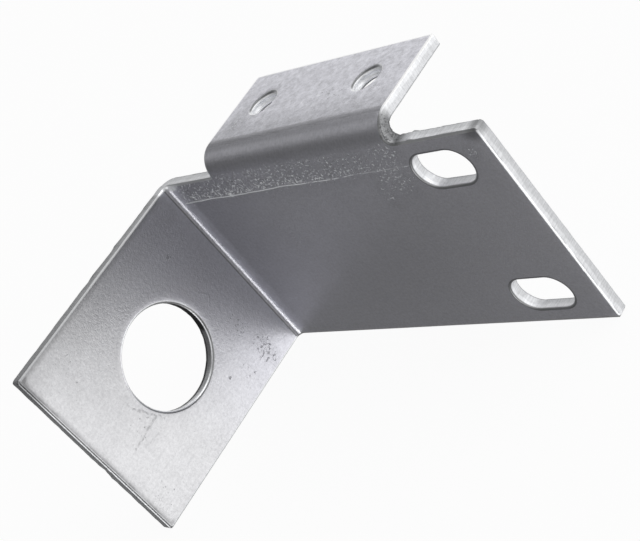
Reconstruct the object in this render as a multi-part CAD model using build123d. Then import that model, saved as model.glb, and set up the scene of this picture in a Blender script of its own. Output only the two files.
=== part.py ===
"""Stamped sensor bracket: one sheet of steel, blanked, punched and folded twice.

A slotted plate stands between a flange, folded forward at one end and pierced
by the sensor's hole, and a tab, folded backward along part of the top edge and
tapped for two screws. The origin is at the middle of the slot pair on the
plate's back face. +X runs along the plate away from the flange, +Y out of the
plate's back, +Z up across the plate. All sizes are in millimetres.
"""

from build123d import *
import os

# --- sheet ---------------------------------------------------------------
SHEET = 2.0  # thickness of the sheet
CORNER_R = 0.6  # outside corners of the blank
EDGE_ROLL = 0.3  # rolled edge that the punch leaves round the blank

# --- plate ---------------------------------------------------------------
LENGTH = 75.0  # flange's outer face to the plate's free end
HEIGHT = 38.0  # width of the plate and of the flange, along Z
SLOT_LENGTH = 11.0  # slots for M6 screws, end to end, along X
SLOT_WIDTH = 6.4
SLOT_PITCH = 26.0  # between the two slots, along Z
SLOT_EDGE = 11.0  # plate's free end to the middle of each slot

# --- flange --------------------------------------------------------------
FLANGE_DEPTH = 45.0  # plate's back face to the flange's free end
FLANGE_BEND_R = 1.0  # inside radius of its bend
SENSOR_HOLE_D = 18.0

# --- tab -----------------------------------------------------------------
TAB_START = 15.0  # flange's outer face to the tab's near side
TAB_WIDTH = 42.5  # along X
TAB_REACH = 17.5  # plate's back face to the tab's free end
TAB_BEND_R = 2.0  # inside radius of its bend
TAB_ROOT_NEAR_R = 0.4  # where the tab leaves the plate's top edge
TAB_ROOT_FAR_R = 1.2
TAPPED_D = 5.0  # M6, at the thread's crest
COUNTERSINK_D = 6.4
TAPPED_PITCH = 25.0  # between the two tapped holes, along X
TAPPED_START = 8.0  # tab's near side to the first tapped hole
TAPPED_EDGE = 7.5  # tab's free end to the tapped holes

# --- derived -------------------------------------------------------------
MARGIN = 5.0  # how far a cutting tool runs past the sheet
x_end = SLOT_EDGE
x_flange = x_end - LENGTH
y_front = -SHEET
y_flange = -FLANGE_DEPTH
z_top = HEIGHT / 2
x_tab_near = x_flange + TAB_START
x_tab_far = x_tab_near + TAB_WIDTH
z_tab = z_top + TAB_BEND_R + SHEET  # the bend starts at the plate's top edge
y_hole = (y_front + y_flange) / 2
y_tapped = TAB_REACH - TAPPED_EDGE
x_tapped = x_tab_near + TAPPED_START


def folded(points, inside, outside, inside_r):
    """Section of a sheet folded once, from its outline and its two corners."""
    section = make_face(Polyline(*points, close=True))
    corners = section.vertices()
    bend_in = corners.sort_by_distance(inside)[0]
    section = fillet(bend_in, inside_r)
    bend_out = section.vertices().sort_by_distance(outside)[0]
    return fillet(bend_out, inside_r + SHEET)


# Plate and flange: an angle section, drawn from above and raised to the height.
angle = folded(
    [
        (x_end, 0),
        (x_end, y_front),
        (x_flange + SHEET, y_front),
        (x_flange + SHEET, y_flange),
        (x_flange, y_flange),
        (x_flange, 0),
    ],
    inside=(x_flange + SHEET, y_front, 0),
    outside=(x_flange, 0, 0),
    inside_r=FLANGE_BEND_R,
)
body = extrude(Pos(0, 0, -z_top) * angle, amount=HEIGHT)

# Tab: its section, drawn from the end, is swept along the top edge.
stem = z_top - MARGIN
hook = folded(
    [
        (y_front, stem),
        (0, stem),
        (0, z_tab - SHEET),
        (TAB_REACH, z_tab - SHEET),
        (TAB_REACH, z_tab),
        (y_front, z_tab),
    ],
    inside=(0, z_tab - SHEET, 0),
    outside=(y_front, z_tab, 0),
    inside_r=TAB_BEND_R,
)
strip_near = x_tab_near - TAB_ROOT_NEAR_R
strip_far = x_tab_far + TAB_ROOT_FAR_R
strip = extrude(Plane.YZ.offset(strip_near) * hook, amount=strip_far - strip_near)

# The tab's outline in the blank, with a radius where each side leaves the plate.
outline = make_face(
    Polyline(
        (strip_near - MARGIN, stem - MARGIN),
        (strip_far + MARGIN, stem - MARGIN),
        (strip_far + MARGIN, z_top),
        (x_tab_far, z_top),
        (x_tab_far, z_tab + MARGIN),
        (x_tab_near, z_tab + MARGIN),
        (x_tab_near, z_top),
        (strip_near - MARGIN, z_top),
        close=True,
    )
)
for root, radius in (
    ((x_tab_near, z_top, 0), TAB_ROOT_NEAR_R),
    ((x_tab_far, z_top, 0), TAB_ROOT_FAR_R),
):
    outline = fillet(outline.vertices().sort_by_distance(root)[0], radius)
through = extrude(Plane.XZ * outline, amount=TAB_REACH + MARGIN, both=True)
body = (body + (strip & through)).clean()

# Outside corners of the blank.
flange_corners = body.edges().filter_by(Axis.X).group_by(Axis.Y)[0]
plate_corners = body.edges().filter_by(Axis.Y).group_by(Axis.X)[-1]
tab_corners = body.edges().filter_by(Axis.Z).group_by(Axis.Y)[-1]
body = fillet([*flange_corners, *plate_corners, *tab_corners], CORNER_R)

# Rolled edge, round the whole blank on the side that faced the die.
plate_front = body.faces().filter_by(Axis.Y).group_by(SortBy.AREA)[-1].sort_by(Axis.Y)[0]
rolled = plate_front.edges().filter_by(Axis.X).sort_by(Axis.Z)[0]
body = fillet(rolled, EDGE_ROLL)

# Sensor's hole, in the middle of the flat of the flange.
sensor_hole = Pos(x_flange, y_hole, 0) * Rot(0, 90, 0) * Cylinder(SENSOR_HOLE_D / 2, 4 * SHEET)
body -= sensor_hole

# Slots, in line with the plate's top and bottom edges.
for z in (-SLOT_PITCH / 2, SLOT_PITCH / 2):
    slot = Plane.XZ * Pos(0, z) * SlotOverall(SLOT_LENGTH, SLOT_WIDTH)
    body -= extrude(slot, amount=MARGIN, both=True)

# Tapped holes, countersunk on the tab's outer face.
sink = (COUNTERSINK_D - TAPPED_D) / 2
for i in range(2):
    at = Pos(x_tapped + i * TAPPED_PITCH, y_tapped, z_tab)
    body -= at * Cylinder(TAPPED_D / 2, 4 * SHEET)
    body -= at * Pos(0, 0, -sink / 2) * Cone(TAPPED_D / 2, COUNTERSINK_D / 2, sink)

body.label = "bracket"
os.makedirs("parts", exist_ok=True)
export_step(body, "parts/bracket.step")
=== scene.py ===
"""A stamped bracket folded from one 2 mm sheet: its finished surface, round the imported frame."""

import logging
import math
from dataclasses import dataclass
from enum import IntEnum
from functools import reduce
from typing import Any

import bmesh
import bpy
from mathutils import Matrix, Vector, noise


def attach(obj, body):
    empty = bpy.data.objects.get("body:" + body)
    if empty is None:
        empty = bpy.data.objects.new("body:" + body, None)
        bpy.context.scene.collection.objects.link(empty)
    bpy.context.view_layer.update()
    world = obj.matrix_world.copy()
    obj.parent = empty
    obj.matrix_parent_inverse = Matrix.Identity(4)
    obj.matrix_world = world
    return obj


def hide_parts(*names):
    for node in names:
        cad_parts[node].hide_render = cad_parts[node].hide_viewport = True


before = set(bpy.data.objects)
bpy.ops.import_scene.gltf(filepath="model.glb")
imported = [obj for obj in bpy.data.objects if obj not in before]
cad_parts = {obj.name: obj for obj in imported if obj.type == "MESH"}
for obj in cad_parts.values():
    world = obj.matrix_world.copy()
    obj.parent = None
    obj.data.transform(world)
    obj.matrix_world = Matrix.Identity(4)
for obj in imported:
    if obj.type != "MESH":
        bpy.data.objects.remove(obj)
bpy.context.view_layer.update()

Edges = list[bmesh.types.BMEdge]
Socket = bpy.types.NodeSocket

MM = 0.001  # one millimetre, in metres
FLAT = 1e-4  # heights this close count as one
FAR = 9.0  # gaps wider than this are kept as this
NEUTRAL = 0.44  # the sheet's neutral layer, as a share of its thickness
log = logging.getLogger("bracket")


class Zone(IntEnum):
    """What the press did to a patch of the blank."""

    FRONT = 0
    BACK = 1
    ROLL = 2
    CUT = 3
    BURR = 4
    THREAD = 5


def ease(low: float, high: float, value: float) -> float:
    """A smooth step from 0 at low to 1 at high."""
    t = min(max((value - low) / (high - low), 0.0), 1.0)
    return t * t * (3 - 2 * t)


def bell(away: float, reach: float) -> float:
    """A smooth bump: 1 at no distance, fading over reach."""
    return math.exp(-((away / reach) ** 2))


def rumple(point: Vector, *layers: tuple[float, float]) -> float:
    """The sum of layers of noise at a point, each with its height and its frequency."""
    return sum(height * noise.noise(point * frequency) for height, frequency in layers)


def new_object(name: str, data: bpy.types.ID) -> bpy.types.Object:
    """Puts a new object in the scene."""
    item = bpy.data.objects.new(name, data)
    bpy.context.scene.collection.objects.link(item)
    return item


def bevel(bm: bmesh.types.BMesh, geom: list[Any], offset: float, segments: int,
          affect: str = "EDGES") -> list[bmesh.types.BMFace]:
    """Bevels edges or corners, and gives the new faces."""
    return bmesh.ops.bevel(
        bm, geom=geom, offset=offset, offset_type="OFFSET", segments=segments, profile=0.5,
        affect=affect, material=-1, clamp_overlap=False,
    )["faces"]


@dataclass(frozen=True)
class Hole:
    """One opening punched in the flat blank.

    Args:
        u: Centre along the blank.
        v: Centre up the blank.
        length: Size along u.
        width: Size along v.
        segments: Edges round the whole opening.
        rings: How far out each ring of faces round the opening reaches.
        tapped: Whether the opening is countersunk and threaded.
    """

    u: float
    v: float
    length: float
    width: float
    segments: int
    rings: tuple[float, ...]
    tapped: bool = False

    def outward(self, u: float, v: float) -> Vector:
        """The way from the opening's middle line to a point of the blank."""
        half = (self.length - self.width) / 2
        along = math.copysign(max(abs(u - self.u) - half, 0.0), u - self.u)
        return Vector((along, v - self.v, 0.0))

    def gap(self, u: float, v: float) -> float:
        """Distance from the opening's edge to a point of the blank, below zero inside it."""
        return self.outward(u, v).length - self.width / 2


@dataclass(frozen=True)
class Fold:
    """One right-angle fold.

    Args:
        start: Where the fold starts on the blank.
        inner: Radius inside the fold.
        flat: Flat zone after the fold.
        rows: Rows of faces round the fold.
    """

    start: float
    inner: float
    flat: float
    rows: int

    def blank(self, sheet: float) -> float:
        """Length of sheet that the fold takes up, measured on its neutral layer."""
        return (self.inner + NEUTRAL * sheet) * math.pi / 2

    def wrap(self, run: float, radius: float, sheet: float) -> tuple[float, float]:
        """Turns a point round the fold.

        Args:
            run: How far past the fold's start it lies on the blank.
            radius: How far it lies from the fold's axis.
            sheet: The sheet's thickness.

        Returns:
            Its place ahead of the axis, and its place to the side, below zero past the fold.
        """
        long = self.blank(sheet)
        turn = min(run / long, 1.0) * math.pi / 2
        return radius * math.sin(turn), radius * math.cos(turn) - max(run - long, 0.0)


@dataclass(frozen=True)
class Sheet:
    """The sheet and the blank cut from it, in millimetres.

    The rolled edge is as wide as roll; on the plate and the tab it is a slope, flatter for a
    larger knee. The widths of rim, sink, lip and burr are those of the slots' rounded edge, the
    countersinks, their rounded rims and the burr behind. The cut walls stand back by setback, are
    smooth up to land and are torn a step deeper from tear on, both measured from the back.
    """

    thick: float = 2.0
    half_height: float = 19.0
    free_end: float = 11.0
    corner: float = 0.6
    tab_near: float = -49.0
    tab_far: float = -6.5
    root_near: float = 0.4
    root_far: float = 1.2
    skew: float = 0.5
    roll: float = 0.46
    knee: float = 0.9
    rim: float = 0.24
    sink: float = 0.35
    lip: float = 0.1
    burr: float = 0.07
    land: float = -1.25
    tear: float = -0.55
    torn_step: float = 0.05
    setback: float = 0.02
    tapped_u: tuple[float, float] = (-41.0, -16.0)
    tapped_past: float = 8.0
    flange: Fold = Fold(start=-61.0, inner=1.0, flat=42.0, rows=12)
    tab: Fold = Fold(start=19.0, inner=2.0, flat=15.5, rows=20)

    @property
    def flange_start(self) -> float:
        """Where the flat flange starts, along the blank."""
        return self.flange.start - self.flange.blank(self.thick)

    @property
    def tab_start(self) -> float:
        """Where the flat tab starts, up the blank."""
        return self.tab.start + self.tab.blank(self.thick)

    @property
    def flange_end(self) -> float:
        """The flange's free end, along the blank."""
        return self.flange_start - self.flange.flat

    @property
    def tab_end(self) -> float:
        """The tab's free end, up the blank."""
        return self.tab_start + self.tab.flat

    def on_flange(self, past: float, v: float) -> tuple[float, float]:
        """The place on the blank of a point of the flange, given past its fold."""
        return (self.flange_start - past, v)

    def on_tab(self, u: float, past: float) -> tuple[float, float]:
        """The place on the blank of a point of the tab, given past its fold."""
        return (u, self.tab_start + past)

    def border(self, u: float, v: float) -> float:
        """Distance from a point of the blank to its outer line, as far as FAR."""
        away = [u - self.flange_end, self.free_end - u, v + self.half_height, FAR]
        if self.tab_near < u < self.tab_far:
            if v > self.half_height:
                away += [u - self.tab_near, self.tab_far - u, self.tab_end - v]
        else:
            away.append(self.half_height - v)
        return max(min(away), 0.0)


@dataclass(frozen=True)
class Nick:
    """A small burr or dent on the blank's outer edge.

    Args:
        u: Place along the blank.
        v: Place up the blank.
        reach: How far it spreads along the edge.
        proud: How far it stands out of the cut wall, below zero for a dent.
        lift: How far it stands out of the back face.
    """

    u: float
    v: float
    reach: float
    proud: float
    lift: float = 0.0

    def share(self, point: Vector) -> float:
        """How much of the nick is felt at a point of the blank, from 0 to 1."""
        return bell(math.hypot(point.x - self.u, point.y - self.v), self.reach)


class Blank:
    """The punched blank, meshed flat and then folded.

    The blank lies in the bmesh's XY plane, its back face at height 0, its front a sheet below.
    """

    def __init__(self, sheet: Sheet) -> None:
        """Lays out the blank's openings.

        Args:
            sheet: The sheet's sizes.
        """
        self.sheet = sheet
        self.bm = bmesh.new()
        self.sensor = Hole(*sheet.on_flange(20.5, 0.0), 18.0, 18.0, 96, (0.8, 1.6))
        self.holes = (
            *(Hole(0.0, v, 11.0, 6.4, 56, (0.7,)) for v in (13.0, -13.0)),
            self.sensor,
            *(Hole(*sheet.on_tab(u, sheet.tapped_past), 5.0, 5.0, 64, (1.3,), tapped=True)
              for u in sheet.tapped_u),
        )
        top = sheet.half_height
        self.nicks = (
            Nick(-2.1, top, 0.45, 0.16, 0.22),
            Nick(*sheet.on_flange(12.4, top), 0.9, 0.07, 0.05),
            Nick(*sheet.on_flange(13.8, top), 0.7, -0.1),
            Nick(*sheet.on_flange(19.0, top), 0.9, 0.06, 0.05),
            Nick(*sheet.on_flange(20.6, top), 0.7, -0.08),
            Nick(sheet.flange_end, -3.4, 0.8, -0.14),
            Nick(sheet.flange_end, -5.0, 0.7, 0.06),
            Nick(sheet.tab_far, top + 0.9, 1.1, 0.2, 0.16),
            Nick(sheet.tab_far + 0.9, top + 0.1, 0.6, -0.16, 0.1),
            Nick(sheet.free_end, 18.2, 0.7, -0.1),
        )

    def outline(self) -> None:
        """Draws the blank's outer line, with its corners and tab roots rounded."""
        s = self.sheet
        h, bm = s.half_height, self.bm
        corners = (
            (s.flange_end, -h, s.corner, 6),
            (s.free_end, -h, s.corner, 6),
            (s.free_end, h, s.corner, 6),
            (s.tab_far, h, s.root_far, 14),
            (s.tab_far, s.tab_end, s.corner, 6),
            (s.tab_near, s.tab_end + s.skew, s.corner, 6),
            (s.tab_near, h, s.root_near, 6),
            (s.flange_end, h, s.corner, 6),
        )
        verts = [bm.verts.new((u, v, 0.0)) for u, v, _, _ in corners]
        bm.faces.new(verts)
        for vert, (_, _, radius, segments) in zip(verts, corners):
            bevel(bm, [vert], radius, segments, "VERTICES")

    def opening(self, hole: Hole) -> Edges:
        """Draws an opening's line.

        Args:
            hole: The opening.

        Returns:
            The line's edges.
        """
        bm = self.bm
        if hole.length == hole.width:
            made = bmesh.ops.create_circle(
                bm, cap_ends=False, segments=hole.segments, radius=hole.width / 2,
                matrix=Matrix.Translation((hole.u, hole.v, 0.0)),
            )
            return list(dict.fromkeys(e for v in made["verts"] for e in v.link_edges))
        verts = bmesh.ops.create_grid(bm, x_segments=1, y_segments=1, size=0.5)["verts"]
        bmesh.ops.scale(bm, vec=(hole.length, hole.width, 1.0), verts=verts)
        bmesh.ops.translate(bm, vec=(hole.u, hole.v, 0.0), verts=verts)
        bevel(bm, verts, hole.width / 2, hole.segments // 4, "VERTICES")
        verts = list(bm.faces[:][-1].verts)
        bmesh.ops.delete(bm, geom=bm.faces[:][-1:], context="FACES_ONLY")
        bmesh.ops.remove_doubles(bm, verts=verts, dist=0.01)
        return list(dict.fromkeys(e for v in verts if v.is_valid for e in v.link_edges))

    def widen(self, hole: Hole, edges: Edges, step: float) -> Edges:
        """Adds a ring of faces round an opening.

        Args:
            hole: The opening.
            edges: The line that the ring starts from.
            step: The ring's width.

        Returns:
            The ring's outer line.
        """
        made = bmesh.ops.extrude_edge_only(self.bm, edges=edges)["geom"]
        line = [g for g in made if isinstance(g, bmesh.types.BMVert)]
        for vert in line:
            vert.co += hole.outward(vert.co.x, vert.co.y).normalized() * step
        kept = set(line)
        return [g for g in made if isinstance(g, bmesh.types.BMEdge) and kept >= set(g.verts)]

    def punch(self) -> None:
        """Fills the blank, leaving its openings, each with its own rings of faces."""
        bm = self.bm
        self.outline()
        bmesh.ops.delete(bm, geom=bm.faces[:], context="FACES_ONLY")
        bounds = bm.edges[:]
        lines = [self.opening(hole) for hole in self.holes]
        for hole, line in zip(self.holes, lines):
            for before, after in zip((0.0, *hole.rings), hole.rings):
                line = self.widen(hole, line, after - before)
            bounds.extend(line)
        bmesh.ops.triangle_fill(bm, use_beauty=True, use_dissolve=False, edges=bounds)
        bmesh.ops.recalc_face_normals(bm, faces=bm.faces[:])
        if bm.faces[0].normal.z < 0:
            bmesh.ops.reverse_faces(bm, faces=bm.faces[:])

    def hole_of(self, point: Vector, reach: float) -> Hole | None:
        """The opening that a point of the blank lies within reach of, if any."""
        for hole in self.holes:
            if hole.gap(point.x, point.y) < reach:
                return hole
        return None

    def thicken(self) -> None:
        """Gives the blank its thickness, with the front face a sheet below the back."""
        bm, thick = self.bm, self.sheet.thick
        self.zone = bm.faces.layers.int.new("zone")
        made = bmesh.ops.extrude_face_region(bm, geom=bm.faces[:])
        front = [g for g in made["geom"] if isinstance(g, bmesh.types.BMVert)]
        bmesh.ops.translate(bm, vec=(0.0, 0.0, -thick), verts=front)
        bmesh.ops.recalc_face_normals(bm, faces=bm.faces[:])
        for face in bm.faces:
            depth = {round(v.co.z, 3) for v in face.verts}
            kind = Zone.CUT if len(depth) > 1 else Zone.BACK if depth == {0.0} else Zone.FRONT
            face[self.zone] = kind

    def zones(self, edge: bmesh.types.BMEdge) -> set[int]:
        """The zones on the two sides of an edge."""
        return {face[self.zone] for face in edge.link_faces}

    def ease_rims(self) -> None:
        """Rolls the front edge, countersinks the tapped holes and leaves a fine burr behind."""
        bm, s = self.bm, self.sheet

        def rim(a: Zone, b: Zone, *tapped: bool | None) -> Edges:
            """Edges between two zones, all or by hole: plain (False), tapped (True) or None."""
            found = []
            for edge in bm.edges:
                if self.zones(edge) == {a, b}:
                    middle = (edge.verts[0].co + edge.verts[1].co) / 2
                    hole = self.hole_of(middle, reach=0.75)
                    if not tapped or (hole.tapped if hole else None) in tapped:
                        found.append(edge)
            return found

        def round_off(edges: Edges, size: float, segments: int, kind: Zone) -> None:
            """Bevels edges and gives the new faces their zone."""
            for face in bevel(bm, edges, size, segments):
                face[self.zone] = kind

        round_off(rim(Zone.FRONT, Zone.CUT, None), s.roll, 5, Zone.ROLL)
        # on the plate and the tab the round becomes a slope that meets the wall at an angle
        for vert in bm.verts:
            deep = vert.co.z + s.thick
            if FLAT < deep < s.roll + FLAT:
                run = math.sqrt(max(deep * (2.0 * s.roll - deep), 0.0))
                flat = run * run / (run + s.knee)
                share = ease(s.flange_start, s.flange.start, vert.co.x)
                vert.co.z += (flat - deep) * share
        sensor = [e for e in rim(Zone.FRONT, Zone.CUT, False) if e.verts[0].co.x < s.flange.start]
        round_off(sensor, s.roll, 5, Zone.ROLL)
        round_off(rim(Zone.FRONT, Zone.CUT, False), s.rim, 4, Zone.ROLL)
        round_off(rim(Zone.FRONT, Zone.CUT, True), s.sink, 1, Zone.THREAD)
        round_off(rim(Zone.FRONT, Zone.THREAD), s.lip, 2, Zone.ROLL)
        round_off(rim(Zone.BACK, Zone.CUT), s.burr, 2, Zone.BURR)

    def slice_walls(self) -> None:
        """Splits every cut wall into rows, finer in the tapped holes."""
        bm = self.bm
        plain, tapped = [], []
        for edge in bm.edges:
            a, b = (v.co for v in edge.verts)
            if self.zones(edge) == {Zone.CUT} and abs(a.z - b.z) > 0.5:
                hole = self.hole_of(a, reach=0.5)
                (tapped if hole and hole.tapped else plain).append(edge)
        bmesh.ops.subdivide_edges(bm, edges=plain, cuts=6, use_grid_fill=True)
        bmesh.ops.subdivide_edges(bm, edges=tapped, cuts=19, use_grid_fill=True)
        for face in bm.faces:
            hole = self.hole_of(face.calc_center_median(), reach=0.5)
            if face[self.zone] == Zone.CUT and hole and hole.tapped:
                face[self.zone] = Zone.THREAD

    def cut(self, axis: int, at: float) -> None:
        """Cuts the blank along one line, except in the rings and walls of its openings.

        Args:
            axis: 0 for a line of constant u, 1 for one of constant v.
            at: Where the line is.
        """
        bm = self.bm
        geom = [g for g in (*bm.faces, *bm.edges) if not g[self.shut[type(g)]]]
        way = Vector((1 - axis, axis, 0))
        bmesh.ops.bisect_plane(
            bm, geom=[*geom, *bm.verts], dist=FLAT, plane_co=way * at, plane_no=way)

    def net(self) -> None:
        """Lays an even net over the flats and close rows over the folds, and clears the rest."""
        bm, s = self.bm, self.sheet
        self.shut = {
            bmesh.types.BMFace: bm.faces.layers.int.new("shut"),
            bmesh.types.BMEdge: bm.edges.layers.int.new("shut"),
        }
        shut_face, shut_edge = self.shut.values()
        for face in bm.faces:
            middle = face.calc_center_median()
            hole = self.hole_of(middle, reach=2.0)
            inside = hole is not None and hole.gap(middle.x, middle.y) < hole.rings[-1]
            face[shut_face] = int(inside)
        for edge in bm.edges:
            edge[shut_edge] = int(all(face[shut_face] for face in edge.link_faces))
        fold_u, fold_v = (
            [fold.start + side * fold.blank(s.thick) * i / fold.rows for i in range(fold.rows + 1)]
            for fold, side in ((s.flange, -1), (s.tab, 1))
        )
        plate_u = (-58.2, -55.8, -53.4, -51.0, -46.4, -43.1, -41.0, -38.9, -35.4, -33.0, -30.6,
                   -28.5, -26.4, -24.0, -21.6, -18.1, -16.0, -13.9, -10.2, -8.0, -4.6, -2.3,
                   0.0, 2.3, 4.6, 7.9, 9.4)
        flange_e = (2.4, 4.8, 7.2, 11.9, 14.6, 17.5, 20.5, 23.5, 26.4, 29.1, 32.8, 35.2, 37.6,
                    40.2)
        tab_e = (1.4, 2.8, 5.8, 8.0, 10.2, 13.3)
        rows_v = (0.0, 2.6, 5.2, 7.8, 11.9, 14.1, 17.8)
        lines_u = [*plate_u, *fold_u, *(s.flange_start - e for e in flange_e)]
        lines_v = [*rows_v, *(-v for v in rows_v[1:]), *fold_v, *(s.tab_start + e for e in tab_e)]
        lines = (lines_u, lines_v)
        for axis in (0, 1):
            for at in lines[axis]:
                self.cut(axis, at)

        def on_line(edge: bmesh.types.BMEdge) -> bool:
            """Whether an edge lies on a line of the net."""
            a, b = (v.co for v in edge.verts)
            return any(
                abs(a[axis] - b[axis]) < 2 * FLAT
                and any(abs(a[axis] - at) < 3 * FLAT for at in lines[axis])
                for axis in (0, 1)
            )

        flats = ({Zone.FRONT}, {Zone.BACK})
        spare = [
            e for e in bm.edges
            if self.zones(e) in flats and not on_line(e)
            and not any(face[shut_face] for face in e.link_faces)
        ]
        bmesh.ops.dissolve_edges(bm, edges=spare, use_verts=True, use_face_split=False)

    def refine_rims(self) -> None:
        """Splits the long faces of the outer edge, so that it can run a little uneven."""
        bm = self.bm
        rims = {Zone.ROLL, Zone.CUT, Zone.BURR}
        long_edges = [
            e for e in bm.edges
            if self.zones(e) & rims and abs(e.verts[0].co.z - e.verts[1].co.z) < FLAT
            and e.calc_length() > 0.9 and self.hole_of(e.verts[0].co, reach=0.6) is None
        ]
        bmesh.ops.subdivide_edges(bm, edges=long_edges, cuts=3, use_grid_fill=True)

    def thread(self) -> None:
        """Cuts the M6 thread into the tapped holes' walls."""
        pitch, deep, flank, root, limit = 1.0, 0.34, 0.42, 0.9, 2.9
        done = {v for f in self.bm.faces if f[self.zone] == Zone.THREAD for v in f.verts}
        for vert in done:
            hole = self.hole_of(vert.co, reach=1.0)
            if hole is None:
                continue
            x, y = vert.co.x - hole.u, vert.co.y - hole.v
            radius = math.hypot(x, y)
            if radius > limit:
                continue
            turn = (vert.co.z / pitch + math.atan2(y, x) / math.tau) % 1.0
            cutter = max(0.0, 1.0 - abs(turn - 0.5) / flank)
            grow = (radius + deep * min(cutter, root)) / radius
            vert.co.x, vert.co.y = hole.u + x * grow, hole.v + y * grow

    def shear(self) -> None:
        """Roughens the cut walls below their smooth land, as a press tool tears them."""
        bm, s = self.bm, self.sheet
        bm.normal_update()
        walls: dict[bmesh.types.BMVert, Vector] = {}
        for face in bm.faces:
            if face[self.zone] in (Zone.CUT, Zone.BURR):
                flat = Vector((face.normal.x, face.normal.y, 0.0))
                for vert in face.verts:
                    walls[vert] = walls.get(vert, Vector()) + flat * face.calc_area()
        for vert, way in walls.items():
            if way.length < 1e-9:
                continue
            way.normalize()
            p = vert.co
            torn = ease(s.land + rumple(p, (0.2, 0.9)), s.tear, p.z)
            rough = s.torn_step + rumple(p, (0.05, 1.9), (0.035, 5.3))
            wander = s.setback + rumple(Vector((p.x, p.y, 3.0)), (0.025, 0.35))
            from_root = math.hypot(p.x - s.tab_far - 0.5, p.y - s.half_height - 0.6)
            lumps = bell(from_root, math.sqrt(2.6)) * rumple(p, (0.2, 1.7), (0.1, 3.9))
            nick = sum(n.proud * n.share(p) for n in self.nicks)
            vert.co -= way * (torn * rough + wander + lumps - nick)
        for face in bm.faces:
            if face[self.zone] == Zone.BURR:
                for vert in face.verts:
                    if vert.co.z > -0.04 and vert in walls:
                        lift = sum(n.lift * n.share(vert.co) for n in self.nicks)
                        vert.co.z = s.setback + rumple(vert.co, (0.03, 1.3)) + lift

    def dish(self) -> None:
        """Draws the front face down a little round the openings and along the outer edge."""
        s = self.sheet
        around_sensor, around_others, along_border = 0.09, 0.05, 0.045
        for vert in self.bm.verts:
            p = vert.co
            if p.z > -s.thick / 2:
                continue
            sink = along_border * bell(s.border(p.x, p.y), 0.8)
            for hole in self.holes:
                depth = around_sensor if hole is self.sensor else around_others
                sink += depth * bell(max(hole.gap(p.x, p.y), 0.0), 0.95)
            vert.co.z += sink * ease(-1.0, -1.7, p.z)

    def settle(self) -> None:
        """Leaves the flats very slightly wavy, as rolled sheet is."""
        for vert in self.bm.verts:
            p = Vector((vert.co.x, vert.co.y, 0.0))
            vert.co.z += rumple(p, (0.035, 1 / 17.0), (0.012, 1 / 6.0))

    def chart(self) -> None:
        """Keeps each point's place on the flat blank, and its distance from the edges."""
        layers = self.bm.verts.layers
        blank = layers.float_vector.new("blank")
        opening = layers.float.new("opening_gap")
        border = layers.float.new("border_gap")
        for vert in self.bm.verts:
            u, v, _ = vert.co
            vert[blank] = vert.co
            vert[opening] = max(min(FAR, *(h.gap(u, v) for h in self.holes)), 0.0)
            vert[border] = self.sheet.border(u, v)

    def fold(self) -> None:
        """Folds the flange forward and the tab back, each round its own axis."""
        s = self.sheet
        outer = s.thick + s.flange.inner
        for vert in self.bm.verts:
            u, v, w = vert.co
            if u < s.flange.start:
                ahead, aside = s.flange.wrap(s.flange.start - u, w + outer, s.thick)
                vert.co = Vector((s.flange.start - ahead, aside - outer, v))
            elif v > s.tab.start:
                ahead, aside = s.tab.wrap(v - s.tab.start, s.tab.inner - w, s.thick)
                vert.co = Vector((u, s.tab.inner - aside, s.tab.start + ahead))
            else:
                vert.co = Vector((u, w, v))

    def build(self) -> bmesh.types.BMesh:
        """Makes the folded sheet.

        Returns:
            The bmesh, in millimetres, in the object's own frame.
        """
        for job in (self.punch, self.thicken, self.ease_rims, self.net, self.slice_walls,
                    self.refine_rims, self.thread, self.shear, self.dish, self.settle,
                    self.chart, self.fold):
            job()
        bmesh.ops.recalc_face_normals(self.bm, faces=self.bm.faces[:])
        return self.bm


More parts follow.
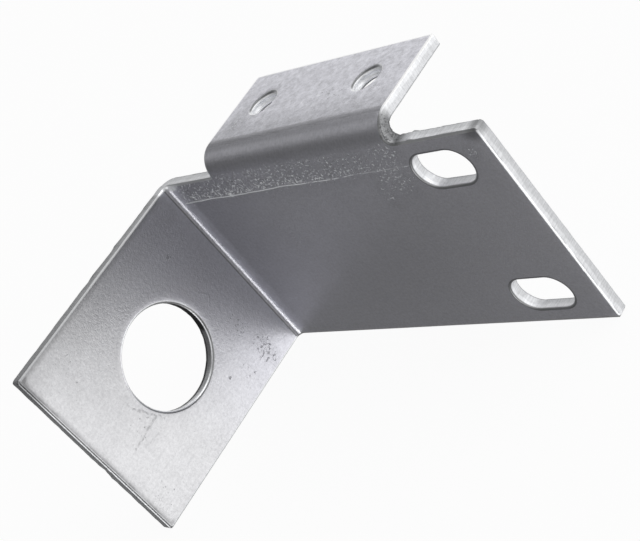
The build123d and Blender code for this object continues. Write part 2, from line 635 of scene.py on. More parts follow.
class Net:
    """Short words for laying out shader nodes in one tree."""

    def __init__(self, tree: bpy.types.NodeTree) -> None:
        """Takes the tree to fill."""
        self.tree = tree

    def put(self, socket: Socket, value: Any) -> None:
        """Links a socket to another, or sets its value."""
        if isinstance(value, Socket):
            self.tree.links.new(value, socket)
        else:
            socket.default_value = value

    def node(self, kind: str, inputs: dict[Any, Any] | None = None,
             **values: Any) -> bpy.types.Node:
        """Adds a node.

        Args:
            kind: The node's Blender type.
            inputs: What its inputs take, by name or number.
            **values: Properties to set on it.

        Returns:
            The node.
        """
        node = self.tree.nodes.new(kind)
        for name, value in values.items():
            setattr(node, name, value)
        for at, value in (inputs or {}).items():
            self.put(node.inputs[at], value)
        return node

    def attribute(self, name: str, output: str) -> Socket:
        """An output of one of the piece's own attributes."""
        return self.node("ShaderNodeAttribute", attribute_name=name).outputs[output]

    def parts(self, vector: Any) -> tuple[Socket, ...]:
        """The three numbers of a vector."""
        return tuple(self.node("ShaderNodeSeparateXYZ", {0: vector}).outputs)

    def math(self, operation: str, *terms: Any) -> Socket:
        """A Math node's output for these terms."""
        return self.node("ShaderNodeMath", dict(enumerate(terms)), operation=operation).outputs[0]

    def aim(self, operation: str, *terms: Any, output: str = "Vector") -> Socket:
        """A Vector Math node's output for these terms."""
        made = self.node("ShaderNodeVectorMath", dict(enumerate(terms)), operation=operation)
        return made.outputs[output]

    def chain(self, operation: str, terms: tuple[Any, ...]) -> Any:
        """One operation carried through all terms, from the first to the last."""
        return reduce(lambda before, term: self.math(operation, before, term), terms)

    def total(self, *terms: Any) -> Any:
        """The sum of all terms."""
        return self.chain("ADD", terms)

    def product(self, *terms: Any) -> Any:
        """The product of all terms."""
        return self.chain("MULTIPLY", terms)

    def most(self, *terms: Any) -> Any:
        """The largest of all terms."""
        return self.chain("MAXIMUM", terms)

    def dim(self, mask: Any, share: float) -> Socket:
        """1 where the mask is 0, falling by share where it is 1, or rising if share is negative."""
        return self.math("MULTIPLY_ADD", mask, -share, 1.0)

    def dimmed(self, *marks: tuple[Any, float]) -> Any:
        """The product of one dim for each mask and share."""
        return self.product(*(self.dim(mask, share) for mask, share in marks))

    def step(self, value: Any, low: float, high: float, start: float = 0.0,
             end: float = 1.0) -> Socket:
        """A smooth step from start, at low, to end, at high."""
        terms = {"Value": value, "From Min": low, "From Max": high, "To Min": start, "To Max": end}
        node = self.node("ShaderNodeMapRange", terms, interpolation_type="SMOOTHSTEP")
        return node.outputs["Result"]

    def band(self, value: Any, low: float, high: float, soft: float) -> Socket:
        """1 between low and high, falling to 0 over soft on both sides."""
        return self.product(self.step(value, low - soft, low + soft),
                            self.step(value, high - soft, high + soft, 1.0, 0.0))

    def mix(self, share: Any, a: Any, b: Any) -> Socket:
        """A colour between a and b."""
        return self.node("ShaderNodeMix", {0: share, 6: a, 7: b}, data_type="RGBA").outputs[2]

    def mixed(self, share: Any, a: bpy.types.Node, b: bpy.types.Node) -> Socket:
        """A shader between those of two nodes."""
        terms = {0: share, 1: a.outputs[0], 2: b.outputs[0]}
        return self.node("ShaderNodeMixShader", terms).outputs[0]

    def noise(self, vector: Any, scale: Any, detail: float = 2.0, rough: float = 0.5,
              output: str = "Fac") -> Socket:
        """A Noise Texture's value."""
        terms = {"Vector": vector, "Scale": scale, "Detail": detail, "Roughness": rough}
        return self.node("ShaderNodeTexNoise", terms).outputs[output]

    def ripple(self, vector: Any, scale: float, detail: float = 2.0, rough: float = 0.5) -> Socket:
        """A Noise Texture's value, moved to lie about zero."""
        return self.math("SUBTRACT", self.noise(vector, scale, detail, rough), 0.5)

    def stretched(self, vector: Any, scale: tuple[float, float, float],
                  shift: tuple[float, float, float] = (0.0, 0.0, 0.0)) -> Socket:
        """The vector scaled and then shifted, axis by axis."""
        terms = {"Vector": vector, "Location": shift, "Scale": scale}
        return self.node("ShaderNodeMapping", terms).outputs[0]

    def group(self, tree: bpy.types.NodeTree, **values: Any) -> bpy.types.Node:
        """Places a node group with its own values."""
        terms = {name.capitalize(): value for name, value in values.items()}
        return self.node("ShaderNodeGroup", terms, node_tree=tree)


def emptied(owner: bpy.types.Material | bpy.types.World) -> Net:
    """A net for the owner's own shader nodes, with none in it yet."""
    owner.use_nodes = True
    owner.node_tree.nodes.clear()
    return Net(owner.node_tree)


def new_group(name: str, inputs: dict[str, float | None], outputs: tuple[str, ...],
              ) -> tuple[bpy.types.NodeTree, Net, dict[str, Any], dict[str, Any]]:
    """Starts a shader node group.

    Args:
        name: The group's name.
        inputs: Names of its inputs, with their default, or None for a vector.
        outputs: Names of its outputs, all numbers.

    Returns:
        The group, its net, its input sockets and its output sockets.
    """
    tree = bpy.data.node_groups.new(name, "ShaderNodeTree")
    for label, value in inputs.items():
        kind = "NodeSocketVector" if value is None else "NodeSocketFloat"
        socket = tree.interface.new_socket(name=label, in_out="INPUT", socket_type=kind)
        if value is not None:
            socket.default_value = value
    for label in outputs:
        tree.interface.new_socket(name=label, in_out="OUTPUT", socket_type="NodeSocketFloat")
    net = Net(tree)
    start, end = net.node("NodeGroupInput"), net.node("NodeGroupOutput")
    return tree, net, {s.name: s for s in start.outputs}, {s.name: s for s in end.inputs}


def grain_group() -> bpy.types.NodeTree:
    """Builds the grain of rolled, plated metal.

    Returns:
        The group. Tone is a small number to add to a shade, and Height a bump in millimetres.
    """
    tree, net, given, made = new_group(
        "metal_grain", {"Place": None, "Fine": 1.0, "Cloud": 1.0, "Lines": 1.0},
        ("Tone", "Height"))
    place = given["Place"]
    fine = net.ripple(place, 1.9, 4.0, 0.6)
    speckle = net.ripple(place, 4.4, 2.0, 0.6)
    cloud = net.ripple(place, 0.17, 3.0, 0.55)
    drawn = net.ripple(net.stretched(place, (0.12, 3.4, 1.0)), 1.0, 3.0)
    across = net.ripple(net.stretched(place, (2.6, 0.2, 1.0)), 1.0)
    lines = net.product(net.total(drawn, net.product(across, 0.5)), given["Lines"])
    small = net.product(net.total(fine, net.product(speckle, 0.7)), given["Fine"])
    net.put(made["Tone"], net.total(net.product(small, 0.16), net.product(lines, 0.12),
                                    net.product(cloud, given["Cloud"], 0.2)))
    net.put(made["Height"], net.total(net.product(small, 0.02), net.product(lines, 0.008)))
    return tree


def speck_group() -> bpy.types.NodeTree:
    """Builds scattered specks, absent at a density of 0 and touching at 1.

    Returns:
        The group, with a mask of the specks.
    """
    tree, net, given, made = new_group(
        "specks", {"Place": None, "Scale": 3.0, "Density": 0.0}, ("Mask",))
    grit = net.noise(given["Place"], given["Scale"], 2.0, 0.65)
    lifted = net.math("MULTIPLY_ADD", given["Density"], 0.3, grit)
    net.put(made["Mask"], net.step(lifted, 0.78, 0.84))
    return tree


@dataclass(frozen=True)
class Groups:
    """The node groups that several finishes share."""

    grain: bpy.types.NodeTree
    specks: bpy.types.NodeTree


class Surface:
    """A new metal material: its net, and the piece's own coordinates in it."""

    def __init__(self, name: str, groups: Groups) -> None:
        """Starts the material.

        Args:
            name: The material's name.
            groups: The shared node groups.
        """
        self.groups = groups
        self.material = bpy.data.materials.new(name)
        self.net = emptied(self.material)
        self.blank = self.net.attribute("blank", "Vector")
        self.u, self.v, self.w = self.net.parts(self.blank)
        self.plan = self.net.aim("MULTIPLY", self.blank, (1.0, 1.0, 0.0))
        self.border = self.net.attribute("border_gap", "Fac")
        self.opening = self.net.attribute("opening_gap", "Fac")
        self.front = self.where(w=(-0.9, -1.1))

    def specks(self, at: Any, scale: float, density: Any) -> Socket:
        """A mask of scattered specks."""
        made = self.net.group(self.groups.specks, place=at, scale=scale, density=density)
        return made.outputs["Mask"]

    def where(self, **steps: tuple[float, ...]) -> Any:
        """The product of smooth steps, each along the coordinate that it is named after."""
        return self.net.product(*(self.net.step(getattr(self, name), *ends)
                                  for name, ends in steps.items()))

    def spot(self, at: tuple[float, float], length: float, width: float, strength: float = 1.0,
             soft: float = 0.6) -> Socket:
        """A soft oval mask on the blank.

        Args:
            at: Its middle.
            length: Its size along the blank.
            width: Its size up the blank.
            strength: How strong it is at its middle.
            soft: How soft its edge is, as a share of its size.

        Returns:
            The mask.
        """
        away = self.net.aim("SUBTRACT", self.plan, (*at, 0.0))
        scaled = self.net.aim("DIVIDE", away, (length / 2, width / 2, 1.0))
        reach = self.net.aim("LENGTH", scaled, output="Value")
        return self.net.step(reach, 1.0 + soft, 1.0 - soft, 0.0, strength)

    def scratch(self, path: Any, start: tuple[float, float], end: tuple[float, float],
                width: float, strength: float) -> Socket:
        """A thin straight mask.

        Args:
            path: The plan to draw it on.
            start: Where it starts.
            end: Where it ends.
            width: Its width.
            strength: How strong it is.

        Returns:
            The mask.
        """
        net, origin = self.net, Vector((*start, 0.0))
        along = Vector((*end, 0.0)) - origin
        away = net.aim("SUBTRACT", path, origin)
        run = net.aim("DOT_PRODUCT", away, along / along.length_squared, output="Value")
        run = net.math("MINIMUM", net.most(run, 0.0), 1.0)
        nearest = net.node("ShaderNodeVectorMath", {0: along, "Scale": run}, operation="SCALE")
        side = net.aim("LENGTH", net.aim("SUBTRACT", away, nearest.outputs[0]), output="Value")
        return net.step(side, width * 0.7, width * 0.3, 0.0, strength)

    def finish(self, colour: Any, metallic: Any, rough: Any, height: Any) -> bpy.types.Material:
        """Wires the shader.

        Args:
            colour: The base colour.
            metallic: How metallic the surface is.
            rough: Its roughness.
            height: Its relief, in millimetres.

        Returns:
            The finished material.
        """
        net = self.net
        bump = net.node("ShaderNodeBump", {"Strength": 1.0, "Distance": MM, "Height": height})
        shader = net.node("ShaderNodeBsdfPrincipled", {
            "Base Color": colour, "Metallic": metallic, "Roughness": rough,
            "Normal": bump.outputs[0]})
        net.node("ShaderNodeOutputMaterial", {"Surface": shader.outputs[0]})
        return self.material

    def tinted(self, tone: Any, red: float, blue: Any) -> Socket:
        """A near-neutral colour of this tone, with its shares of red and blue."""
        terms = {at: self.net.product(tone, part) for at, part in enumerate((red, 1.0, blue))}
        return self.net.node("ShaderNodeCombineColor", terms).outputs[0]


@dataclass(frozen=True)
class ZincSkin:
    """The rolled, zinc-plated face of the sheet, with press and handling marks and painted shade.

    Args:
        sheet: The sheet's sizes.
        groups: The shared node groups.
        name: The material's name.
        shade: Its reflectance.
        rough: Its mean roughness.
    """

    sheet: Sheet
    groups: Groups
    name: str = "zinc_skin"
    shade: float = 0.78
    rough: float = 0.36

    def chalk(self, face: Surface) -> tuple[Any, Any]:
        """Pale zinc bloom: the pitted band and scribed line under the tab, and a few patches.

        Args:
            face: The material.

        Returns:
            A mask of the pale specks, and how rugged the surface is.
        """
        net, s = face.net, self.sheet
        wander = net.noise(net.stretched(face.plan, (0.07, 0.0, 1.0)), 1.0)
        below = net.math("SUBTRACT", face.v, net.total(wander, 14.25))
        bend = s.flange.start
        past_bend = face.where(u=(bend, bend + 1.2))
        band = net.product(net.step(below, -0.1, 0.2), past_bend, face.where(u=(-3.5, -8.5)),
                           face.where(v=(20.1, 18.9), u=(-5.0, -40.0, 0.74, 1.0)))
        thin = net.product(face.where(v=(12.0, 14.4), u=(-4.0, -18.0)), past_bend,
                           face.where(v=(19.6, 18.6)), 0.46)
        patches = (
            ((-10.2, 13.6), 9.0, 9.0, 0.66),
            ((-13.8, 9.8), 3.6, 5.0, 0.58),
            ((7.3, 15.0), 2.2, 2.6, 0.72),
            ((-7.6, 17.6), 4.6, 3.0, 0.74),
            (s.on_tab(-44.4, 4.4), 4.4, 7.0, 0.6),
            (s.on_tab(-41.6, 5.0), 3.4, 2.2, 0.66),
            (s.on_flange(6.0, -15.4), 3.6, 7.0, 0.42),
        )
        clumps = net.step(net.noise(face.plan, 0.45), 0.36, 0.56, 0.72, 1.0)
        near = net.product(net.step(below, 2.2, 0.8, 0.74, 0.97), clumps)
        rugged = net.product(face.front, net.most(net.product(band, near), thin,
                                                  *(face.spot(*patch) for patch in patches)))
        specks = face.specks(face.plan, 2.2, rugged)
        bloom = net.product(specks, net.step(net.noise(face.plan, 1.3), 0.36, 0.6, 0.4, 1.0))
        dashes = net.step(net.noise(face.plan, 0.9), 0.38, 0.52)
        scribed = net.product(net.band(below, -0.17, 0.03, 0.06),
                              face.where(u=(bend - 0.2, bend + 0.8)), face.where(u=(-2.0, -5.0)),
                              face.where(u=(-12.0, -30.0, 0.25, 1.0)),
                              net.most(dashes, face.where(u=(-25.0, -33.0))))
        drop = face.spot((-47.7, 14.8), 1.0, 0.7, 0.9)
        bent = face.spot((-60.9, 18.3), 2.2, 1.2, 0.9)
        return net.product(face.front, net.most(bloom, scribed, drop, bent)), rugged

    def pits(self, face: Surface) -> Any:
        """Small dark pits and the scratches of handling.

        Args:
            face: The material.

        Returns:
            A mask of the dark marks.
        """
        net, s = face.net, self.sheet
        flange_clusters = (
            (6.2, -15.0, 5.0, 7.6, 0.74), (7.2, -7.4, 4.4, 6.0, 0.66),
            (11.0, -14.8, 4.4, 5.0, 0.52), (34.3, 15.3, 7.0, 4.0, 0.5),
            (7.7, 10.9, 1.4, 1.0, 1.1), (15.0, -12.0, 0.9, 0.7, 1.3),
            (32.5, -3.6, 6.0, 7.0, 0.42), (38.6, -13.5, 6.0, 8.0, 0.45),
            (34.0, 8.0, 10.0, 12.0, 0.3),
        )
        tab_clusters = ((-24.5, 6.0, 13.0, 3.6, 0.55), (-12.5, 5.4, 4.0, 2.4, 0.5),
                        (-38.0, 4.0, 7.0, 4.0, 0.45))
        density = net.most(
            0.18, face.spot((-32.0, 17.1), 58.0, 4.4, 0.62, 0.3),
            *(face.spot(s.on_flange(past, v), *size) for past, v, *size in flange_clusters),
            *(face.spot(s.on_tab(u, past), *size) for u, past, *size in tab_clusters))
        moved = net.stretched(face.plan, (1.0, 1.0, 1.0), (31.0, 17.0, 0.0))
        dots = face.specks(moved, 1.7, density)
        marks = (
            (s.on_flange(29.8, -4.4), s.on_flange(36.4, -4.8), 0.42, 0.6),
            (s.on_flange(28.8, -5.8), s.on_flange(31.6, -0.2), 0.36, 0.5),
            (s.on_flange(31.6, -0.2), s.on_flange(31.9, 3.0), 0.3, 0.3),
            (s.on_flange(31.4, -6.6), s.on_flange(34.6, -6.0), 0.3, 0.28),
            (s.on_flange(8.3, 2.4), s.on_flange(7.0, 0.5), 0.24, 0.3),
            (s.on_flange(7.0, 0.5), s.on_flange(8.4, -0.7), 0.24, 0.34),
            (s.on_tab(-14.6, 5.6), s.on_tab(-12.4, 6.4), 0.22, 0.55),
            (s.on_tab(-12.9, 4.9), s.on_tab(-11.6, 7.3), 0.2, 0.4),
            ((-22.0, -9.0), (-16.5, -10.4), 0.2, 0.3),
            ((-43.0, 2.0), (-39.5, 4.4), 0.2, 0.25),
        )
        broken = net.step(net.noise(face.plan, 1.7), 0.38, 0.58, 0.1, 1.0)
        shake = net.noise(face.plan, 0.9, output="Color")
        shaky = net.aim("MULTIPLY_ADD", shake, (0.9, 0.9, 0.0), face.plan)
        path = net.aim("SUBTRACT", shaky, (0.45, 0.45, 0.0))
        lines = net.product(net.most(*(face.scratch(path, *mark) for mark in marks)), broken)
        return net.most(net.product(dots, net.step(face.front, 0.0, 1.0, 0.5, 1.0)),
                        net.product(face.front, lines))

    def shadows(self, face: Surface) -> Any:
        """Painted shade and highlights: darker and paler places, as a factor on the shade.

        Args:
            face: The material.

        Returns:
            The factor.
        """
        net, s = face.net, self.sheet
        fold, bend, past = s.tab.blank(s.thick), s.flange.start, s.flange_start
        streak = net.ripple(net.stretched(face.plan, (0.16, 2.2, 1.0)), 1.0, 3.0, 0.6)
        wave = net.math("MULTIPLY_ADD", streak, 0.5, face.v)
        over_tab = net.product(face.where(u=(s.tab_near - 0.8, s.tab_near)),
                               face.where(u=(s.tab_far + 0.8, s.tab_far)))
        # Painted shade: two darker bands across the front of the tab's fold, die near its end and
        # under near its start.
        die, under = (
            net.product(over_tab, net.band(wave, s.tab.start + fold * low,
                                           s.tab.start + fold * high, soft))
            for low, high, soft in ((0.84, 1.04, 0.3), (0.1, 0.38, 0.5)))
        # Painted highlight: a paler streak on the plate's front beside the flange's fold.
        glow = net.product(net.band(face.u, bend, bend + 2.4, 0.7),
                           face.where(v=(-22.0, 14.0, 0.3, 1.0)))
        patchy = net.step(net.noise(face.plan, 0.16), 0.42, 0.56, 0.25, 1.0)
        # Painted shade: a dark line in the fold's crease, on the flange side.
        crease = net.band(face.u, past + 0.15, past + 0.6, 0.2)
        # Painted shade over the middle of the plate's front.
        middle = face.spot((-37.0, 4.0), 52.0, 34.0, 1.0, 0.9)
        # Painted shade along the flange's top edge and free end, above its lowest few millimetres.
        rim = face.where(border=(1.5, 0.5), v=(-17.6, -15.6), u=(past, past - 3.0))
        # Painted shade along the flange's free end, broken into patches.
        tip = face.where(border=(1.0, 0.5), u=(s.flange_end + 2.2, s.flange_end + 1.4))
        # Painted shade: a thin dark line round the openings in the plate and the tab.
        ring = face.where(opening=(0.5, 0.32), u=(bend + 1.0, bend + 11.0))
        # Painted highlight: a paler ring round the upper part of the sensor hole.
        halo = face.where(opening=(1.5, 0.5), u=(bend + 1.0, bend - 9.0), v=(-5.0, 1.0))
        # Painted shade over the flange, strongest near its fold and its top.
        inner = face.spot(s.on_flange(8.0, 12.0), 38.0, 36.0, 1.0, 1.0)
        in_front = ((die, 0.48), (under, 0.16), (glow, -0.3), (crease, 0.72), (middle, 0.12),
                    (rim, 0.28), (net.product(tip, patchy), 0.42), (ring, 0.55), (halo, -0.13),
                    (inner, 0.18))
        # Painted shade on both faces of the tab, over its first few millimetres past the fold.
        slope = net.product(face.where(v=(s.tab_start - 0.2, s.tab_start + 0.5)),
                            face.where(v=(s.tab_start + 5.8, s.tab_start + 0.6)))
        # Painted shade on both faces at the top corner of the plate's free end.
        corner = face.spot((9.9, 18.3), 3.6, 2.2, 1.0, 0.8)
        # Painted shade on both faces of the flange's upper part.
        upper = face.where(u=(past, past - 1.0), v=(11.0, 18.0))
        return net.dimmed((corner, 0.5), (slope, 0.2), (upper, 0.15),
                          *((net.product(face.front, mask), share) for mask, share in in_front))

    def build(self) -> bpy.types.Material:
        """Makes the material.

        Returns:
            The material.
        """
        face = Surface(self.name, self.groups)
        net, s = face.net, self.sheet
        on_tab = face.where(v=(s.tab_start - 0.4, s.tab_start + 0.4))
        bend = s.flange.start
        # Along the inside of the flange's fold: a smoother band, made paler in colour as a painted
        # highlight.
        crease = net.product(face.front, net.band(face.u, bend - 1.6, bend, 0.4))
        grain = net.group(self.groups.grain, place=face.blank, fine=1.9, cloud=0.6,
                          lines=net.step(on_tab, 0.0, 1.0, 0.5, 0.9))
        mottle = net.product(net.ripple(face.plan, 0.75, 4.0, 0.65), on_tab, 0.75)
        (chalk, rugged), pits = self.chalk(face), self.pits(face)
        tone = net.product(net.total(self.shade, grain.outputs["Tone"], mottle,
                                     net.product(crease, 0.2)),
                           self.shadows(face), net.dimmed((pits, 0.38), (rugged, 0.2)))
        blue = face.where(u=(s.flange_start - 4.0, s.flange_start - 30.0, 1.07, 1.02))
        colour = net.mix(chalk, face.tinted(tone, 1.0, blue), (0.96, 0.98, 1.0, 1.0))
        rough = net.total(self.rough, net.product(grain.outputs["Tone"], -0.5),
                          net.product(pits, 0.12), net.product(chalk, 0.2),
                          net.product(crease, -0.08))
        crumb = net.ripple(face.plan, 2.9, 3.0, 0.7)
        height = net.total(grain.outputs["Height"], net.product(pits, -0.04),
                           net.product(chalk, 0.09), net.product(crumb, chalk, 0.4),
                           net.product(crumb, rugged, 0.1))
        return face.finish(colour, net.dim(chalk, 0.9), rough, height)


@dataclass(frozen=True)
class CutMetal:
    """Bare metal where the press sheared, a die rolled or a tap cut it.

    Args:
        sheet: The sheet's sizes.
        groups: The shared node groups.
        name: The material's name.
        shade: Its reflectance.
        rough: Its mean roughness.
        streaks: How strongly the tool has scored it across the sheet's thickness.
        tearing: How much darker and rougher it is below its smooth land.
        metallic: How metallic it is, lower where the plating is dull.
        edge_shade: How much darker painted shade makes it along the flange's upper edge.
    """

    sheet: Sheet
    groups: Groups
    name: str
    shade: float
    rough: float
    streaks: float
    tearing: float
    metallic: float = 1.0
    edge_shade: float = 0.36

    @property
    def tapped(self) -> tuple[tuple[float, float], ...]:
        """The middles of the tapped holes."""
        return tuple(self.sheet.on_tab(u, self.sheet.tapped_past) for u in self.sheet.tapped_u)

    def rim_shade(self, face: Surface, at: tuple[float, float]) -> Any:
        """Painted shade: a dark line on one side of a tapped hole's rim."""
        net = face.net
        shaded_way = (-0.34, 0.2, 0.0)
        away = net.aim("SUBTRACT", face.plan, (*at, 0.0))
        reach = net.aim("LENGTH", away, output="Value")
        side = net.aim("DOT_PRODUCT", away, shaded_way, output="Value")
        return net.product(net.band(reach, 2.62, 2.9, 0.08), net.step(side, 0.1, 0.7),
                           face.where(w=(-1.45, -1.6)))

    def build(self) -> bpy.types.Material:
        """Makes the material.

        Returns:
            The material.
        """
        face = Surface(self.name, self.groups)
        net, s = face.net, self.sheet
        grain = net.group(self.groups.grain, place=face.blank, fine=1.1, cloud=0.4, lines=0.0)
        scored = net.ripple(net.stretched(face.blank, (4.2, 4.2, 0.35)), 1.0, 3.0, 0.6)
        edge = net.math("MULTIPLY_ADD", net.noise(face.plan, 0.5, 3.0), 0.9, -1.6)
        torn = net.product(net.step(net.math("SUBTRACT", face.w, edge), -0.12, 0.12), self.tearing)
        # The tab's far root: torn, pitted metal, darkened further by painted shade.
        root = face.spot((s.tab_far + 0.3, s.half_height + 1.3), 5.0, 5.6, 1.0, 0.35)
        pits = face.specks(face.blank, 2.6, net.most(net.product(torn, 0.12),
                                                     net.product(root, 0.75)))
        past = s.flange_start
        # Painted shade: the sensor bore's wall darkened, most in its upper part and towards the
        # back face.
        bore = face.where(u=(past - 8.0, past - 9.0), opening=(1.2, 0.8))
        shaded = net.most(face.where(v=(-4.2, -2.4, 0.0, 0.92)),
                          face.where(v=(-8.6, -7.6, 0.0, 0.4)),
                          face.where(w=(-0.8, -0.4, 0.0, 0.8)))
        wall = net.product(bore, face.where(w=(-1.68, -1.5)), shaded)
        # Painted shade: a dark line round the sensor hole's front edge, on its lower part.
        outline = net.product(bore, face.where(w=(-1.8, -1.88), v=(4.0, -2.0)))
        back = net.product(face.where(w=(-0.22, -0.06), u=(9.0, 6.0, 0.25, 1.0)), self.tearing)
        # Painted shade at the top corner of the plate's free end.
        corner_shade = face.spot((10.6, 18.9), 2.6, 2.4, 1.0, 0.8)
        # Painted shade: a dark line round the front edges of the slots.
        slot_rims = face.where(w=(-1.6, -1.8), opening=(0.6, 0.3), u=(-20.0, -10.0),
                               v=(19.0, 17.5))
        # Painted shade along the flange's upper edge, away from the sensor hole.
        top_edge = face.where(u=(past - 0.5, past - 1.5), opening=(1.0, 2.0),
                              v=(10.0, 17.5, 0.3, 1.0))
        # Painted shade on the cut face of the plate's free end.
        free_end = face.where(u=(8.4, 9.6), w=(-1.8, -1.65))
        # Painted highlight: cut metal on the tab a little paler.
        tab_edge = face.where(v=(22.0, 24.0))
        tone = net.product(
            net.total(self.shade, grain.outputs["Tone"], net.product(scored, self.streaks)),
            net.dimmed((torn, 0.12), (root, 0.55), (pits, 0.35), (wall, 1.0), (outline, 0.65),
                       (back, 0.4), (corner_shade, 0.45), (slot_rims, 0.5), (top_edge, self.edge_shade),
                       (free_end, 0.1), (tab_edge, -0.1),
                       *((self.rim_shade(face, hole), 0.75) for hole in self.tapped)))
        rough = net.total(self.rough, net.product(scored, -0.3 * self.streaks),
                          net.product(torn, 0.12), net.product(root, 0.1))
        height = net.total(grain.outputs["Height"], net.product(scored, 0.05 * self.streaks),
                           net.product(pits, -0.05))
        return face.finish(face.tinted(tone, 0.99, 1.02), self.metallic, rough, height)


@dataclass(frozen=True)
class Bracket:
    """The whole bracket, one folded sheet."""

    sheet: Sheet = Sheet()

    def finishes(self) -> dict[str, bpy.types.Material]:
        """Makes every finish of the sheet, by what it covers."""
        given = (self.sheet, Groups(grain_group(), speck_group()))
        return {
            "skin": ZincSkin(*given).build(),
            "cut": CutMetal(*given, "sheared_edge", 0.82, 0.42, 0.45, 1.0).build(),
            "thread": CutMetal(*given, "tapped_thread", 0.86, 0.45, 0.1, 0.0, 0.6).build(),
            "roll": CutMetal(*given, "rolled_rim", 0.95, 0.32, 0.1, 0.0, 1.0, 0.6).build(),
        }

    def build(self) -> bpy.types.Object:
        """Builds and dresses the sheet.

        Returns:
            The piece.
        """
        blank = Blank(self.sheet)
        bm = blank.build()
        finishes = self.finishes()
        order = list(finishes)
        cover = {Zone.FRONT: "skin", Zone.BACK: "skin", Zone.CUT: "cut", Zone.BURR: "cut",
                 Zone.THREAD: "thread", Zone.ROLL: "roll"}
        for face in bm.faces:
            face.smooth = True
            face.material_index = order.index(cover[face[blank.zone]])
        bmesh.ops.scale(bm, vec=(MM, MM, MM), verts=bm.verts[:])
        mesh = bpy.data.meshes.new("folded_sheet")
        bm.to_mesh(mesh)
        bm.free()
        mesh.set_sharp_from_angle(angle=math.radians(42))
        piece = new_object("folded_sheet", mesh)
        for material in finishes.values():
            mesh.materials.append(material)
        weighted = piece.modifiers.new("even_shading", "WEIGHTED_NORMAL")
        weighted.mode = "FACE_AREA"
        weighted.weight = 50
        weighted.keep_sharp = True
        return piece


@dataclass(frozen=True)
class Patch:
    """One soft light area of the studio's dome.

    Args:
        way: Direction of its centre.
        inner: Angle from the centre where it starts to fade, in degrees.
        outer: Angle where it has faded out.
        strength: Its light.
    """

    way: tuple[float, float, float]
    inner: float
    outer: float
    strength: float


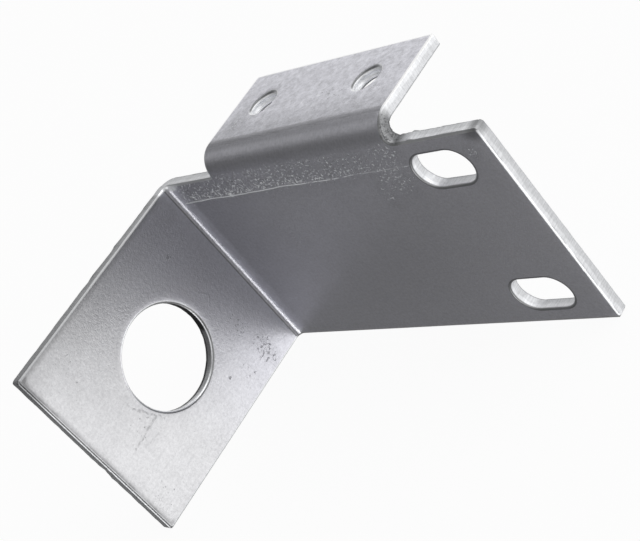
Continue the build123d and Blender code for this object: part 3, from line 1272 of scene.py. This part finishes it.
@dataclass(frozen=True)
class Studio:
    """Floor, dome of soft light, lamp and camera.

    Args:
        base: Light of the dome between its patches.
        paper: Reflectance of the floor.
        white: How white the floor shows to the camera.
        level: Height of the floor, in metres, just under the bracket.
        floor_half: Half the floor's width.
        lamp_at: Place of the lamp, aimed at the origin.
        lamp_size: Its width and depth.
        lamp_power: Its power.
        lens: Focal length of the camera, on a 36 mm wide sensor.
        eye: Place of the camera.
        right: The camera's right-hand direction.
        back: The direction from what the camera sees back to it.
        patches: The dome's soft light areas.
    """

    base: float = 0.18
    paper: float = 0.85
    white: float = 0.94
    level: float = -0.01905
    floor_half: float = 4.0
    lamp_at: tuple[float, float, float] = (0.25, 0.35, 1.0)
    lamp_size: float = 0.9
    lamp_power: float = 2.2
    lens: float = 87.65
    eye: tuple[float, float, float] = (0.154627, -0.122681, 0.109388)
    right: tuple[float, float, float] = (0.6398943676, 0.4879593956, -0.593658847)
    back: tuple[float, float, float] = (0.7658235257, -0.4688977645, 0.4400559214)
    patches: tuple[Patch, ...] = (
        Patch((0.75, 0.65, -0.1), 46.0, 58.0, 1.15),
        Patch((-0.55, 0.8, 0.2), 29.0, 38.0, 0.7),
        Patch((0.2, 0.45, 0.87), 38.0, 56.0, 0.6),
        Patch((-0.77, -0.22, 0.6), 7.0, 18.0, 0.4),
        Patch((0.0, -0.9, -0.44), 13.0, 26.0, 1.75),
        Patch((0.1, 0.5, -0.86), 14.0, 30.0, 0.8),
        Patch((0.3, -0.85, 0.42), 22.0, 38.0, 0.85),
        Patch((-0.4, 0.85, -0.35), 30.0, 52.0, 0.25),
    )

    def dome(self) -> None:
        """Lights the world with soft patches, and shows the camera plain white."""
        world = bpy.data.worlds.new("studio")
        bpy.context.scene.world = world
        net = emptied(world)
        way = net.node("ShaderNodeTexCoord").outputs["Generated"]
        light: Any = self.base
        for patch in self.patches:
            facing = net.aim("DOT_PRODUCT", way, Vector(patch.way).normalized(), output="Value")
            outer, inner = (math.cos(math.radians(a)) for a in (patch.outer, patch.inner))
            light = net.total(light, net.step(facing, outer, inner, 0.0, patch.strength))
        soft = net.node("ShaderNodeBackground", {"Strength": light})
        plain = net.node("ShaderNodeBackground", {"Color": (1.0, 1.0, 1.0, 1.0)})
        seen = net.node("ShaderNodeLightPath").outputs["Is Camera Ray"]
        net.node("ShaderNodeOutputWorld", {"Surface": net.mixed(seen, soft, plain)})

    def floor(self) -> None:
        """Lays the plain pale floor that the bracket stands on."""
        bm = bmesh.new()
        bmesh.ops.create_grid(bm, x_segments=2, y_segments=2, size=self.floor_half)
        bmesh.ops.translate(bm, vec=(0.0, 0.0, self.level), verts=bm.verts[:])
        mesh = bpy.data.meshes.new("floor")
        bm.to_mesh(mesh)
        bm.free()
        floor = new_object("floor", mesh)
        material = bpy.data.materials.new("floor_paper")
        net = emptied(material)
        paper = net.node("ShaderNodeBsdfDiffuse", {"Color": (*[self.paper] * 3, 1.0)})
        glow = net.node("ShaderNodeEmission")
        path = net.node("ShaderNodeLightPath")
        seen = net.most(path.outputs["Is Camera Ray"], path.outputs["Is Transmission Ray"])
        shown = net.mixed(net.product(seen, self.white), paper, glow)
        net.node("ShaderNodeOutputMaterial", {"Surface": shown})
        mesh.materials.append(material)
        floor.visible_glossy = False

    def lamp(self) -> None:
        """Hangs one large soft lamp overhead, for the shadow on the floor."""
        data = bpy.data.lights.new("overhead", "AREA")
        data.shape = "RECTANGLE"
        data.size = data.size_y = self.lamp_size
        data.energy = self.lamp_power
        lamp = new_object("overhead", data)
        lamp.location = self.lamp_at
        lamp.rotation_euler = (-lamp.location).to_track_quat("-Z", "Y").to_euler()
        lamp.visible_camera = False

    def camera(self) -> None:
        """Sets the camera, close above the free end and rolled well over."""
        data = bpy.data.cameras.new("camera")
        data.sensor_fit = "HORIZONTAL"
        data.sensor_width = 36.0
        data.lens = self.lens
        data.clip_start, data.clip_end = 0.01, 50.0
        camera = new_object("camera", data)
        right, back = Vector(self.right), Vector(self.back)
        turn = Matrix((right, back.cross(right), back)).transposed().to_4x4()
        camera.matrix_world = Matrix.Translation(self.eye) @ turn
        bpy.context.scene.camera = camera

    def build(self) -> None:
        """Sets the whole studio up."""
        self.dome()
        self.floor()
        self.lamp()
        self.camera()
        bpy.context.scene.view_settings.view_transform = "Standard"


def main() -> None:
    """Builds the bracket and its studio."""
    logging.basicConfig(level=logging.INFO, format="%(name)s: %(message)s")
    piece = Bracket().build()
    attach(piece, "root")
    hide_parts("bracket")
    log.info("%s: %d faces", piece.name, len(piece.data.polygons))
    Studio().build()


if __name__ == "__main__":
    main()
